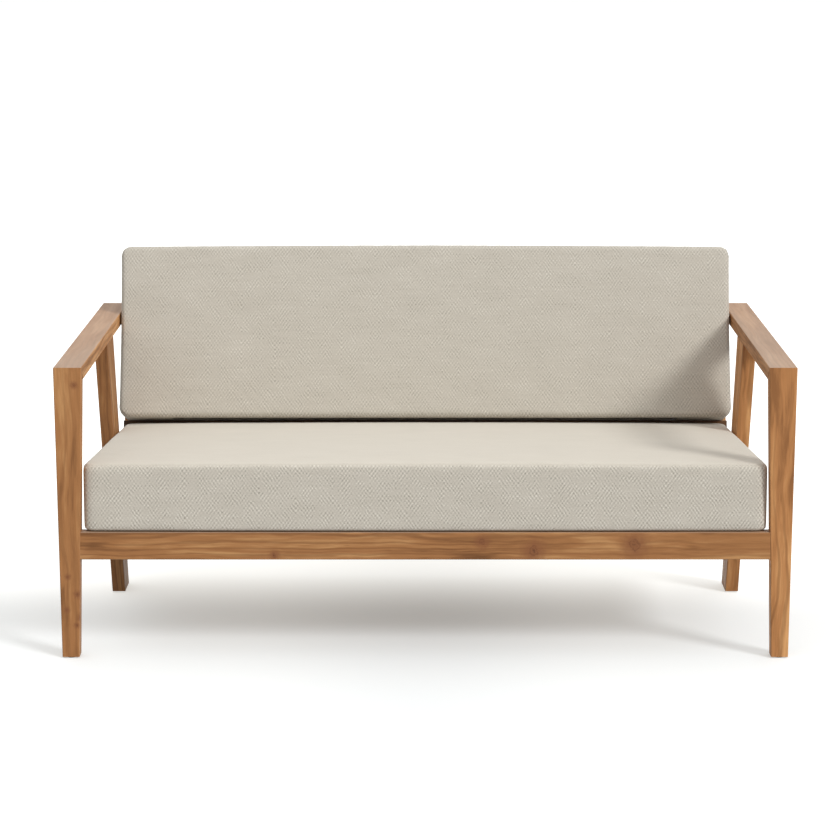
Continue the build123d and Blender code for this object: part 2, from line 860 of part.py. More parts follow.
def save_cushion(name, *shape):
    """Writes a cushion's cover, its fibre wrap and its square-cut foam, one inside the other."""
    wrap_inset = cover_thickness + filling_gap
    hollow_inset = wrap_inset + wrap_thickness
    with BuildPart() as cover:
        add(cushion_form(*shape, 0, cushion_edge_chamfer))
        easing = cushion_edge_chamfer - cover_thickness * chamfer_inset_share
        add(cushion_form(*shape, cover_thickness, easing), mode=Mode.SUBTRACT)
    with BuildPart() as wrap:
        add(cushion_form(*shape, wrap_inset, cushion_edge_chamfer))
        add(cushion_form(*shape, hollow_inset, 0), mode=Mode.SUBTRACT)
    save(cover.part, f"{name}_cover")
    save(wrap.part, f"{name}_wrap")
    save(cushion_form(*shape, hollow_inset + filling_gap, 0), f"{name}_foam")


def zip_and_slider(name, base, edge, outward, height):
    """A zip along a cushion's straight edge, and the slider that runs on it.

    outward is 1 where the edge faces along the plane's Y, and -1 where it faces against it.
    """
    with BuildPart() as teeth:
        with BuildSketch(base.offset(height - zip_width / 2)):
            with Locations((0, edge + outward * zip_thickness / 2)):
                Rectangle(zip_length, zip_thickness)
        extrude(amount=zip_width)
    save(teeth.part, f"{name}_zip")
    slider_inside = edge + outward * (zip_thickness + slider_gap)
    slider_outside = slider_inside + outward * slider_thickness
    slider_x = zip_length / 2 - slider_length
    with BuildPart() as slider:
        with BuildSketch(base.offset(height - slider_width / 2)):
            with Locations((slider_x, (slider_inside + slider_outside) / 2)):
                Rectangle(slider_length, slider_thickness)
        extrude(amount=slider_width)
        chamfer(slider.edges().filter_by(Axis(base.origin, base.z_dir)), slider_chamfer)
        with BuildSketch(base.offset(height - pull_width / 2)):
            with Locations(
                (slider_x - pull_length / 2, slider_outside + outward * pull_thickness / 2)
            ):
                Rectangle(pull_length, pull_thickness)
        extrude(amount=pull_width)
        hole_place = base.from_local_coords((slider_x - pull_length + pull_width / 2, edge, height))
        with BuildSketch(Plane(origin=hole_place, z_dir=base.y_dir * outward)):
            Circle(pull_hole_radius)
        extrude(amount=zip_width, mode=Mode.SUBTRACT)
    save(slider.part, f"{name}_zip_slider")


# Seat cushion
seat_cushion_base = seat_plane.offset(cushion_rest_gap)
save_cushion(
    "seat_cushion",
    seat_cushion_base,
    seat_cushion_start,
    seat_cushion_length,
    (arm_inner + seat_cushion_front_ease, arm_inner - seat_cushion_rear_gap),
    seat_cushion_side_draw,
    (seat_cushion_front_swell, 0),
    seat_cushion_edge_height,
    seat_cushion_crown,
)
zip_and_slider("seat_cushion", seat_cushion_base, seat_cushion_rear, 1, seat_zip_height)

# Back cushion
back_cushion_base = back_plane.offset(cushion_rest_gap)
save_cushion(
    "back_cushion",
    back_cushion_base,
    0.0,
    back_cushion_length,
    (arm_inner - back_cushion_side_gap, arm_inner - back_cushion_side_gap),
    back_cushion_side_draw,
    (0, back_cushion_top_swell),
    back_cushion_edge_height,
    back_cushion_crown,
)
zip_and_slider("back_cushion", back_cushion_base, 0.0, -1, back_zip_height)
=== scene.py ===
import json
import logging
import math
from dataclasses import dataclass, field
from enum import Enum

import bmesh
import bpy
import numpy as np
from mathutils import Matrix, Vector

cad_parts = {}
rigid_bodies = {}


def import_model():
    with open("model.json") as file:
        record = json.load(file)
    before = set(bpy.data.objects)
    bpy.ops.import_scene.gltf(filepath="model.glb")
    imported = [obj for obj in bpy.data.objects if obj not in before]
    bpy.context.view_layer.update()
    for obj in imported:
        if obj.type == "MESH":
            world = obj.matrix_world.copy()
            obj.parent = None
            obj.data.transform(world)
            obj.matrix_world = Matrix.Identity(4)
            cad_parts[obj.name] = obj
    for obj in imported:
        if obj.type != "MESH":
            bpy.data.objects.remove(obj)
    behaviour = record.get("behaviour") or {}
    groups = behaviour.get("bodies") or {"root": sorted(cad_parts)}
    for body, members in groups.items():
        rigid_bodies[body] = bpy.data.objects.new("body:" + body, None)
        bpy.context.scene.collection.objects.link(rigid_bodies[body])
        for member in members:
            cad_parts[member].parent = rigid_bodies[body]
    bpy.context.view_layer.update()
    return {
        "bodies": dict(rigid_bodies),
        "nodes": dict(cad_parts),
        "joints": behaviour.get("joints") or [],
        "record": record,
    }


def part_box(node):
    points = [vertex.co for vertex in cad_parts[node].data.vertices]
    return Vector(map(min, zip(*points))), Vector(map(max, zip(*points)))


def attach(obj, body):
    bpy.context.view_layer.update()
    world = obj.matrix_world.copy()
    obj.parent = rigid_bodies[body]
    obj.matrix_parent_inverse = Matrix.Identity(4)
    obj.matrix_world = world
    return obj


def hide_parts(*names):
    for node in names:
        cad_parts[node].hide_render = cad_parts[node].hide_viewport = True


# The patio loveseat's looks: oiled boards, boxed woven cushions, zips and fittings, on a pale
# floor. Metres. X runs to the right seen from the front, Y to the back and Z up.

LOG = logging.getLogger("loveseat")

Triple = tuple[float, float, float]
Colour = Triple
Span = tuple[float, float]
Socket = bpy.types.NodeSocket
Feeds = dict[str, object]

# Blender's wave texture turns through this many radians in a unit at a scale of 1.
WAVE_TURN = 20.0


class Grain(Enum):
    """The way a board's grain runs, as the turn that lays it along X."""

    ACROSS = (0.0, 0.0)
    DEPTH = (0.0, math.radians(90))
    UPRIGHT = (math.radians(90), 0.0)


class Fitting(Enum):
    """The kinds of small parts, each with the name of its finish."""

    STEEL = "stainless_steel"
    SLIDER = "slider_metal"
    PLASTIC = "glide_plastic"
    JOINERY = "joinery_wood"


@dataclass(frozen=True)
class Shades:
    """Three colours of one material in linear light, from the darkest to the palest."""

    dark: Colour
    middle: Colour
    pale: Colour

    def toned(self, tone: float) -> "Shades":
        """The same shades, all brighter or darker.

        Args:
            tone: What the colours are multiplied by.

        Returns:
            The new shades.
        """
        shades = (self.dark, self.middle, self.pale)
        return Shades(*[tuple(tone * part for part in shade) for shade in shades])


class Nodes:
    """A node tree in the making, with short calls for the nodes that finishes share."""

    def __init__(self, owner: bpy.types.ID) -> None:
        """Empties the owner's tree.

        Args:
            owner: A material or a world.
        """
        owner.use_nodes = True
        self.tree = owner.node_tree
        self.tree.nodes.clear()

    def node(self, kind: str, feeds: Feeds | None = None, **settings: object) -> bpy.types.Node:
        """Adds a node.

        Args:
            kind: The node's type name.
            feeds: What its inputs get, by their names.
            settings: Properties to set on it.

        Returns:
            The new node.
        """
        made = self.tree.nodes.new(kind)
        for name, value in settings.items():
            setattr(made, name, value)
        for name, value in (feeds or {}).items():
            self.feed(made.inputs[name], value)
        return made

    def feed(self, socket: Socket, value: object) -> None:
        """Links a socket to another one, or sets its value.

        Args:
            socket: The input socket.
            value: An output socket, a number, a vector, or a colour of three numbers.
        """
        if isinstance(value, Socket):
            self.tree.links.new(value, socket)
        elif socket.type == "RGBA":
            socket.default_value = (*value, 1.0)
        else:
            socket.default_value = value

    def math(self, operation: str, *values: object) -> Socket:
        """Works on one to three numbers.

        Args:
            operation: The Math node's operation.
            values: Sockets or numbers.

        Returns:
            The result's socket.
        """
        made = self.node("ShaderNodeMath", operation=operation)
        for socket, value in zip(made.inputs, values):
            self.feed(socket, value)
        return made.outputs[0]

    def ramp(
        self, value: object, start: float, end: float, low: object = 0.0, high: object = 1.0,
        steps: str = "SMOOTHSTEP",
    ) -> Socket:
        """Maps a number from one range to another.

        Args:
            value: The number's socket.
            start: Where the result starts to change.
            end: Where it ends to change.
            low: The result up to start.
            high: The result from end.
            steps: The way of the change, smooth or straight.

        Returns:
            The result's socket.
        """
        made = self.node("ShaderNodeMapRange", interpolation_type=steps)
        for socket, number in zip(made.inputs, (value, start, end, low, high)):
            self.feed(socket, number)
        return made.outputs["Result"]

    def blend(self, share: object, first: object, second: object) -> Socket:
        """Mixes two colours.

        Args:
            share: How much of the second shows.
            first: The first colour or its socket.
            second: The second colour or its socket.

        Returns:
            The mixed colour's socket.
        """
        made = self.node("ShaderNodeMix", data_type="RGBA")
        for place, value in {0: share, 6: first, 7: second}.items():
            self.feed(made.inputs[place], value)
        return made.outputs[2]

    def mapped(self, vector: object, turn: Vector, shift: Vector, stretch: Vector) -> Socket:
        """Coordinates that are turned by one mapping and then stretched and shifted by another.

        Args:
            vector: The coordinates.
            turn: Euler angles, applied first.
            shift: The shift, applied last.
            stretch: The scale along each turned axis.

        Returns:
            The vector's socket.
        """
        turned = self.node("ShaderNodeMapping", {"Vector": vector, "Rotation": turn})
        feeds = {"Vector": turned.outputs["Vector"], "Location": shift, "Scale": stretch}
        return self.node("ShaderNodeMapping", feeds).outputs["Vector"]

    def noise(self, vector: object, scale: float, detail: float = 3.0, swirl: float = 0.0) -> Socket:
        """A cloud of noise around 0.5.

        Args:
            vector: The coordinates.
            scale: How fine it is.
            detail: Its octaves.
            swirl: How much it is distorted.

        Returns:
            The noise's socket.
        """
        feeds = {"Vector": vector, "Scale": scale, "Detail": detail, "Distortion": swirl}
        return self.node("ShaderNodeTexNoise", feeds).outputs[0]

    def objects_own(self) -> Socket:
        """The piece's own coordinates, which are the frame's."""
        return self.node("ShaderNodeTexCoord").outputs["Object"]

    def parts(self, vector: object) -> dict[str, Socket]:
        """A vector's three numbers by the names of their axes.

        Args:
            vector: The vector's socket.

        Returns:
            The numbers' sockets.
        """
        made = self.node("ShaderNodeSeparateXYZ", {"Vector": vector})
        return {name: made.outputs[name] for name in "XYZ"}

    def vectors(self, operation: str, first: object, second: object) -> bpy.types.Node:
        """Works on two vectors.

        Args:
            operation: The Vector Math node's operation.
            first: The first vector or its socket.
            second: The second vector or its socket.

        Returns:
            The node, which has a vector and a number to read.
        """
        made = self.node("ShaderNodeVectorMath", operation=operation)
        self.feed(made.inputs[0], first)
        self.feed(made.inputs[1], second)
        return made

    def seen(self) -> Socket:
        """1 for what the camera sees, straight or in a gloss or through glass, else 0."""
        path = self.node("ShaderNodeLightPath")
        total = path.outputs["Is Camera Ray"]
        for name in ("Is Glossy Ray", "Is Transmission Ray"):
            total = self.math("MAXIMUM", total, path.outputs[name])
        return total

    def bump(self, height: object, depth: float, strength: float) -> Socket:
        """Turns a height into a bumped normal.

        Args:
            height: The height's socket.
            depth: How many metres a height of 1 stands up.
            strength: How strong the bump is.

        Returns:
            The normal's socket.
        """
        feeds = {"Height": height, "Distance": depth, "Strength": strength}
        return self.node("ShaderNodeBump", feeds).outputs["Normal"]


class Recipe(Nodes):
    """A node material in the making."""

    def __init__(self, name: str) -> None:
        """Starts a material with nothing but its shader.

        Args:
            name: The material's name.
        """
        self.material = bpy.data.materials.new(name)
        super().__init__(self.material)
        self.shader = self.node("ShaderNodeBsdfPrincipled")
        self.node("ShaderNodeOutputMaterial", {"Surface": self.shader.outputs["BSDF"]})

    def finish(self, **sockets: object) -> bpy.types.Material:
        """Connects the shader.

        Args:
            sockets: Values of the shader's sockets, whose names have underscores for spaces.

        Returns:
            The finished material.
        """
        for name, value in sockets.items():
            self.feed(self.shader.inputs[name.replace("_", " ")], value)
        return self.material


@dataclass(frozen=True)
class Knot:
    """A knot or a dark fleck on a board, whose reach of 1 is that of a small round knot."""

    place: Vector
    reach: float = 1.0


@dataclass(frozen=True)
class Board:
    """One board of the frame, and how its wood lies."""

    node: str
    grain: Grain
    lean: float = 0.0
    tone: float = 1.0
    knots: tuple[Knot, ...] = ()


@dataclass(frozen=True)
class OiledWood:
    """Oiled teak-like wood: growth ribbons and rings along the grain, pores, knots, dry faces; faces that
    look up are paled by weathering and by painted sheen.
    """

    shades: Shades = Shades((0.175, 0.070, 0.022), (0.425, 0.190, 0.068), (0.660, 0.355, 0.146))
    # The worn colour marks worn edges, and pales faces that look up with weathering and painted sheen.
    worn: Colour = (0.417, 0.299, 0.216)
    shift_steps: Triple = (1.37, 2.11, 0.73)
    shift_range: float = 5.0
    knot_dark: Colour = (0.110, 0.036, 0.014)
    knot_halo: Colour = (0.265, 0.100, 0.040)
    ribbon_scale: float = 26.0
    ribbon_stretch: float = 0.085
    ribbon_share: float = 0.74
    streaks_per_ribbon: float = 6.0
    dark_figure: Span = (0.33, 0.50)
    pale_figure: Span = (0.48, 0.67)
    cloud_scale: float = 8.0
    cloud_stretch: float = 0.16
    calm_clouds: Span = (0.35, 0.70)
    calm_share: float = 0.30
    wander: float = 0.026
    wander_scale: float = 8.0
    wander_stretch: float = 0.55
    ring_pitch: float = 0.0105
    ring_stretch: float = 0.035
    ring_bend: float = 6.0
    ring_edge: Span = (0.60, 1.0)
    ring_clouds: Span = (0.30, 0.60)
    ring_shares: Span = (0.12, 0.44)
    pith: Vector = field(default_factory=lambda: Vector((0.0, 0.061, 0.043)))
    pore_scale: float = 1100.0
    pore_stretch: float = 0.030
    pore_edge: Span = (0.58, 0.72)
    pore_share: float = 0.30
    knot_heart: float = 0.0050
    knot_heart_share: float = 0.75
    knot_ring: float = 0.0075
    knot_ring_width: float = 0.0025
    knot_ring_share: float = 0.40
    knot_halo_reach: Span = (0.004, 0.036)
    knot_halo_share: float = 0.80
    knot_ragged: float = 0.022
    knot_ragged_scale: float = 110.0
    edge_facing: Span = (0.80, 0.985)
    edge_wear: float = 0.16
    # Faces that look up take the worn colour as weathering and as painted sheen from the light overhead.
    sky_facing: Span = (0.60, 0.95)
    sky_wear_and_sheen: float = 0.75
    wear_and_sheen_clouds: Span = (0.30, 0.65)
    wear_and_sheen_shares: Span = (0.70, 1.10)
    gloss_figure: Span = (0.30, 0.70)
    roughness: Span = (0.58, 0.45)
    figure_height: float = 0.60
    relief: float = 0.0004

    def make(self, board: Board, seed: int) -> bpy.types.Material:
        """Makes the material of one board, with its own figure.

        Args:
            board: The board.
            seed: The number that makes its figure its own.

        Returns:
            The material.
        """
        recipe = Recipe(f"oiled_wood_{board.node}")
        turn = Vector((board.lean, *board.grain.value))
        shift = Vector([seed * step % self.shift_range for step in self.shift_steps])
        shades = self.shades.toned(board.tone)
        own = recipe.objects_own()
        wide = recipe.mapped(own, turn, shift, Vector((self.cloud_stretch, 1, 1)))
        bent = self.bent(recipe, own, recipe.mapped(own, turn, shift, Vector((self.wander_stretch, 1, 1))))
        along = recipe.mapped(bent, turn, shift, Vector((self.ribbon_stretch, 1, 1)))
        fine = recipe.mapped(own, turn, shift, Vector((self.pore_stretch, 1, 1)))
        ribbon = recipe.noise(along, self.ribbon_scale, detail=6.0, swirl=0.9)
        streak_scale = self.ribbon_scale * self.streaks_per_ribbon
        streak = recipe.noise(along, streak_scale, detail=4.0, swirl=0.3)
        cloud = recipe.noise(wide, self.cloud_scale, detail=2.0, swirl=0.6)
        pores = recipe.noise(fine, self.pore_scale, detail=2.0)
        streak = recipe.math("MULTIPLY", streak, 1 - self.ribbon_share)
        figure = recipe.math("MULTIPLY_ADD", ribbon, self.ribbon_share, streak)
        colour = recipe.blend(recipe.ramp(figure, *self.dark_figure), shades.dark, shades.middle)
        colour = recipe.blend(recipe.ramp(figure, *self.pale_figure), colour, shades.pale)
        calm = recipe.ramp(cloud, *self.calm_clouds, self.calm_share, 0.0)
        colour = recipe.blend(calm, colour, shades.middle)
        share = recipe.ramp(cloud, *self.ring_clouds, *self.ring_shares)
        ringed = recipe.math("MULTIPLY", self.rings(recipe, bent, board, turn, seed), share)
        colour = recipe.blend(ringed, colour, shades.dark)
        pitted = recipe.ramp(pores, *self.pore_edge, 0.0, self.pore_share)
        colour = recipe.blend(pitted, colour, shades.dark)
        for knot in board.knots:
            colour = self.knot(recipe, own, colour, knot)
        # Worn edges, and faces that look up, paled by weathering and painted sheen.
        colour = recipe.blend(self.wear(recipe, turn, cloud), colour, self.worn)
        height = recipe.math("SUBTRACT", recipe.math("MULTIPLY", figure, self.figure_height), pitted)
        return recipe.finish(
            Base_Color=colour,
            Roughness=recipe.ramp(figure, *self.gloss_figure, *self.roughness),
            Normal=recipe.bump(height, self.relief, strength=0.4),
            Specular_IOR_Level=0.3,
        )

    def bent(self, recipe: Recipe, own: object, slow: object) -> Socket:
        """Lets the grain wander a little from its straight way.

        Args:
            recipe: The material in the making.
            own: The piece's own coordinates.
            slow: Coordinates that the bends are read at.

        Returns:
            The bent coordinates.
        """
        feeds = {"Vector": slow, "Scale": self.wander_scale, "Detail": 2.0}
        cloud = recipe.node("ShaderNodeTexNoise", feeds).outputs["Color"]
        centred = recipe.vectors("SUBTRACT", cloud, Vector([0.5] * 3))
        scaled = recipe.vectors("MULTIPLY", centred.outputs[0], Vector([self.wander] * 3))
        return recipe.vectors("ADD", own, scaled.outputs[0]).outputs[0]

    def rings(self, recipe: Recipe, own: object, board: Board, turn: Vector, seed: int) -> Socket:
        """Growth rings round a pith that lies beside the board and runs almost along it.

        Args:
            recipe: The material in the making.
            own: The piece's own coordinates, a little bent.
            board: The board.
            turn: The turn that lays the grain along X.
            seed: The board's own number.

        Returns:
            How dark the rings are.
        """
        low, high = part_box(board.node)
        side = Vector((0.0, 1.0 if seed % 2 else -1.0, 1.0 if seed % 3 else -1.0))
        centred = recipe.vectors("SUBTRACT", own, (Vector(low) + Vector(high)) / 2).outputs[0]
        feeds = {
            "Vector": recipe.mapped(centred, turn, self.pith * side, Vector((self.ring_stretch, 1, 1))),
            "Scale": 2 * math.pi / (self.ring_pitch * WAVE_TURN),
            "Distortion": self.ring_bend,
            "Detail": 4.0,
            "Detail Scale": 0.7,
        }
        waves = recipe.node("ShaderNodeTexWave", feeds, wave_type="RINGS", rings_direction="X")
        return recipe.ramp(waves.outputs["Fac"], *self.ring_edge)

    def knot(self, recipe: Recipe, own: object, colour: object, knot: Knot) -> Socket:
        """Adds a round knot: a dark heart and ring, in a halo that is darker than the wood.

        Args:
            recipe: The material in the making.
            own: The piece's own coordinates.
            colour: The colour so far.
            knot: The knot.

        Returns:
            The colour with the knot.
        """
        away = recipe.vectors("DISTANCE", own, knot.place).outputs["Value"]
        ragged = recipe.math("SUBTRACT", recipe.noise(own, self.knot_ragged_scale / knot.reach), 0.5)
        spread = recipe.math("DIVIDE", away, knot.reach)
        spread = recipe.math("MULTIPLY_ADD", ragged, self.knot_ragged, spread)
        off_ring = recipe.math("ABSOLUTE", recipe.math("SUBTRACT", spread, self.knot_ring))
        ring = recipe.ramp(off_ring, 0.0, self.knot_ring_width, self.knot_ring_share, 0.0)
        heart = recipe.ramp(spread, 0.0, self.knot_heart, self.knot_heart_share, 0.0)
        halo = recipe.ramp(spread, *self.knot_halo_reach, self.knot_halo_share, 0.0)
        colour = recipe.blend(halo, colour, self.knot_halo)
        colour = recipe.blend(ring, colour, self.knot_dark)
        return recipe.blend(heart, colour, self.knot_dark)

    def wear(self, recipe: Recipe, turn: Vector, cloud: object) -> Socket:
        """How worn and dry the wood is on eased edges, and how pale faces that look up are from weathering
        and painted sheen.

        Args:
            recipe: The material in the making.
            turn: The turn that lays the grain along X.
            cloud: Noise that breaks the wear up.

        Returns:
            The share of the worn colour: worn wood, and on faces that look up also painted sheen.
        """
        normal = recipe.node("ShaderNodeNewGeometry").outputs["True Normal"]
        feeds = {"Vector": normal, "Rotation": turn}
        turned = recipe.node("ShaderNodeMapping", feeds, vector_type="VECTOR")
        facing = recipe.parts(turned.outputs["Vector"])
        along, across, through = [recipe.math("ABSOLUTE", facing[name]) for name in "XYZ"]
        flat = recipe.math("MAXIMUM", recipe.math("MAXIMUM", across, through), along)
        edge = recipe.ramp(flat, *self.edge_facing, self.edge_wear, 0.0)
        # Faces that look up: weathering and painted sheen.
        sky = recipe.ramp(recipe.parts(normal)["Z"], *self.sky_facing, 0.0, self.sky_wear_and_sheen)
        broken = recipe.ramp(cloud, *self.wear_and_sheen_clouds, *self.wear_and_sheen_shares)
        return recipe.math("MULTIPLY", recipe.math("MAXIMUM", edge, sky), broken)


@dataclass(frozen=True)
class WovenCloth:
    """A beige herringbone outdoor cloth of slubby yarns, read from the weave UV map."""

    shades: Shades = Shades((0.230, 0.206, 0.160), (0.635, 0.592, 0.515), (0.980, 0.945, 0.860))
    column: float = 0.039
    ridge: Span = (0.0077, 0.0106)
    boxing_contrast: float = 0.72
    # How far the cloth is darkened along its seams, as painted shade in the grooves.
    seam_painted_shade: float = 0.10
    drift_scale: float = 45.0
    drift: Span = (0.006, 0.004)
    crossing_scale: float = 32.0
    crossing_span: Span = (0.35, 0.65)
    crossing_shares: Span = (0.22, 0.72)
    fading_scale: float = 50.0
    fading_span: Span = (0.36, 0.58)
    fading_shares: Span = (0.12, 0.35)
    slub_scale: float = 480.0
    slub_stretch: Span = (0.45, 1.6)
    slub_share: float = 0.95
    speck_scale: float = 900.0
    speck_share: float = 0.70
    patch_scale: float = 14.0
    patch_stretch: Span = (0.7, 1.5)
    patch_share: float = 0.16
    weft_scale: float = 260.0
    weft_stretch: Span = (0.04, 1.0)
    weft_share: float = 0.19
    fuzz_scale: float = 1500.0
    fuzz_share: float = 0.25
    relief: float = 0.0005

    def make(self, name: str, crown_contrast: float, tone: float) -> bpy.types.Material:
        """Makes the cloth of one cushion.

        Args:
            name: The material's name.
            crown_contrast: How strongly the weave shows on the crowned panel.
            tone: What the cloth's colours are multiplied by.

        Returns:
            The material.
        """
        recipe = Recipe(name)
        weave = recipe.node("ShaderNodeUVMap", uv_map="weave").outputs["UV"]
        own = recipe.objects_own()
        place = recipe.parts(weave)
        drift = self.centred(recipe, weave, self.drift_scale, 2.0)
        across = recipe.math("MULTIPLY_ADD", drift, self.drift[0], place["X"])
        down = recipe.math("MULTIPLY_ADD", drift, self.drift[1], place["Y"])
        down = recipe.math("DIVIDE", down, self.ridge[1])
        fold = recipe.math("DIVIDE", recipe.math("PINGPONG", across, self.column), self.ridge[0])
        twill = self.wave(recipe, recipe.math("ADD", down, fold))
        cross = self.wave(recipe, recipe.math("SUBTRACT", down, fold))
        crossing = recipe.noise(weave, self.crossing_scale, 2.0)
        share = recipe.ramp(crossing, *self.crossing_span, *self.crossing_shares)
        fading = recipe.noise(weave, self.fading_scale, 2.0)
        fade = recipe.ramp(fading, *self.fading_span, *self.fading_shares)
        woven = recipe.math("MULTIPLY_ADD", recipe.math("SUBTRACT", cross, twill), share, twill)
        woven = recipe.math("MULTIPLY", woven, fade)
        slub = self.centred(recipe, weave, self.slub_scale, 2.0, self.slub_stretch)
        woven = recipe.math("MULTIPLY_ADD", slub, self.slub_share, woven)
        speck = self.centred(recipe, weave, self.speck_scale, 1.0)
        woven = recipe.math("MULTIPLY_ADD", speck, self.speck_share, woven)
        crown = recipe.node("ShaderNodeAttribute", attribute_name="crown").outputs["Fac"]
        seam = recipe.node("ShaderNodeAttribute", attribute_name="seam").outputs["Fac"]
        contrast = recipe.ramp(crown, 0.0, 1.0, self.boxing_contrast, crown_contrast)
        shown = recipe.math("MULTIPLY_ADD", woven, contrast, 0.5)
        patches = self.centred(recipe, weave, self.patch_scale, 3.0, self.patch_stretch)
        shown = recipe.math("MULTIPLY_ADD", patches, self.patch_share, shown)
        wefts = self.centred(recipe, weave, self.weft_scale, 2.0, self.weft_stretch)
        shown = recipe.math("MULTIPLY_ADD", wefts, self.weft_share, shown)
        shades = self.shades.toned(tone)
        colour = recipe.blend(recipe.ramp(shown, 0.0, 0.5), shades.dark, shades.middle)
        colour = recipe.blend(recipe.ramp(shown, 0.5, 1.0), colour, shades.pale)
        # Painted shade in the seam grooves: the cloth darkens towards its dark shade along the seams.
        colour = recipe.blend(recipe.math("MULTIPLY", seam, self.seam_painted_shade), colour, shades.dark)
        fuzz = recipe.noise(own, self.fuzz_scale, 1.0)
        height = recipe.math("MULTIPLY_ADD", fuzz, self.fuzz_share, woven)
        return recipe.finish(
            Base_Color=colour,
            Roughness=0.92,
            Normal=recipe.bump(height, self.relief, strength=0.45),
            Specular_IOR_Level=0.15,
            Sheen_Weight=0.12,
            Sheen_Roughness=0.6,
        )

    def centred(
        self, recipe: Recipe, weave: object, scale: float, detail: float, stretch: Span | None = None
    ) -> Socket:
        """Noise around 0.

        Args:
            recipe: The material in the making.
            weave: The weave's coordinates.
            scale: How fine it is.
            detail: Its octaves.
            stretch: A scale of its own across and down.

        Returns:
            The noise's socket.
        """
        if stretch:
            weave = recipe.mapped(weave, Vector(), Vector(), Vector((*stretch, 1)))
        return recipe.math("SUBTRACT", recipe.noise(weave, scale, detail), 0.5)

    def wave(self, recipe: Recipe, place: object) -> Socket:
        """A wave from -1 to 1.

        Args:
            recipe: The material in the making.
            place: How many waves along.

        Returns:
            The wave's socket.
        """
        return recipe.math("SINE", recipe.math("MULTIPLY", place, 2 * math.pi))


@dataclass(frozen=True)
class SmallPartFinish:
    """A plain finish with fine wear, for metal, plastic, loose tenons and zips."""

    colour: Colour
    worn: Colour
    metallic: float
    roughness: float
    scale: float
    brush_stretch: float = 0.12
    brush_edge: Span = (0.30, 0.70)
    brush_spread: Span = (-0.06, 0.10)
    stain_stretch: float = 0.12
    stain_edge: Span = (0.45, 0.75)
    stain_share: float = 0.60

    def make(self, name: str) -> bpy.types.Material:
        """Makes the material.

        Args:
            name: The material's name.

        Returns:
            The material.
        """
        recipe = Recipe(name)
        own = recipe.objects_own()
        stretch = Vector((1, self.brush_stretch, self.brush_stretch))
        brushed = recipe.noise(recipe.mapped(own, Vector(), Vector(), stretch), self.scale)
        stain = recipe.noise(own, self.scale * self.stain_stretch)
        stained = recipe.ramp(stain, *self.stain_edge, 0.0, self.stain_share)
        roughness = [self.roughness + part for part in self.brush_spread]
        return recipe.finish(
            Base_Color=recipe.blend(stained, self.colour, self.worn),
            Metallic=self.metallic,
            Roughness=recipe.ramp(brushed, *self.brush_edge, *roughness),
            Normal=recipe.bump(brushed, depth=0.0001, strength=0.3),
        )


FITTING_FINISHES = {
    Fitting.STEEL: SmallPartFinish((0.62, 0.62, 0.61), (0.45, 0.43, 0.40), 1.0, 0.34, 900.0),
    Fitting.SLIDER: SmallPartFinish((0.055, 0.050, 0.046), (0.110, 0.100, 0.090), 0.6, 0.42, 1400.0),
    Fitting.PLASTIC: SmallPartFinish((0.030, 0.028, 0.026), (0.070, 0.066, 0.062), 0.0, 0.55, 700.0),
    Fitting.JOINERY: SmallPartFinish((0.62, 0.43, 0.25), (0.48, 0.30, 0.16), 0.0, 0.65, 300.0),
}


def rows(items: object, name: str) -> np.ndarray:
    """Reads a vector of every vertex or face of a mesh.

    Args:
        items: The mesh's vertices or polygons.
        name: The vector's name.

    Returns:
        One row of three numbers for each item.
    """
    flat = np.empty(len(items) * 3)
    items.foreach_get(name, flat)
    return flat.reshape(-1, 3)


def only(*objects: bpy.types.Object) -> None:
    """Selects these objects alone, and makes the first one active.

    Args:
        objects: The objects.
    """
    for other in bpy.context.scene.objects:
        if other.select_get():
            other.select_set(False)
    for chosen in objects:
        chosen.select_set(True)
    bpy.context.view_layer.objects.active = objects[0]


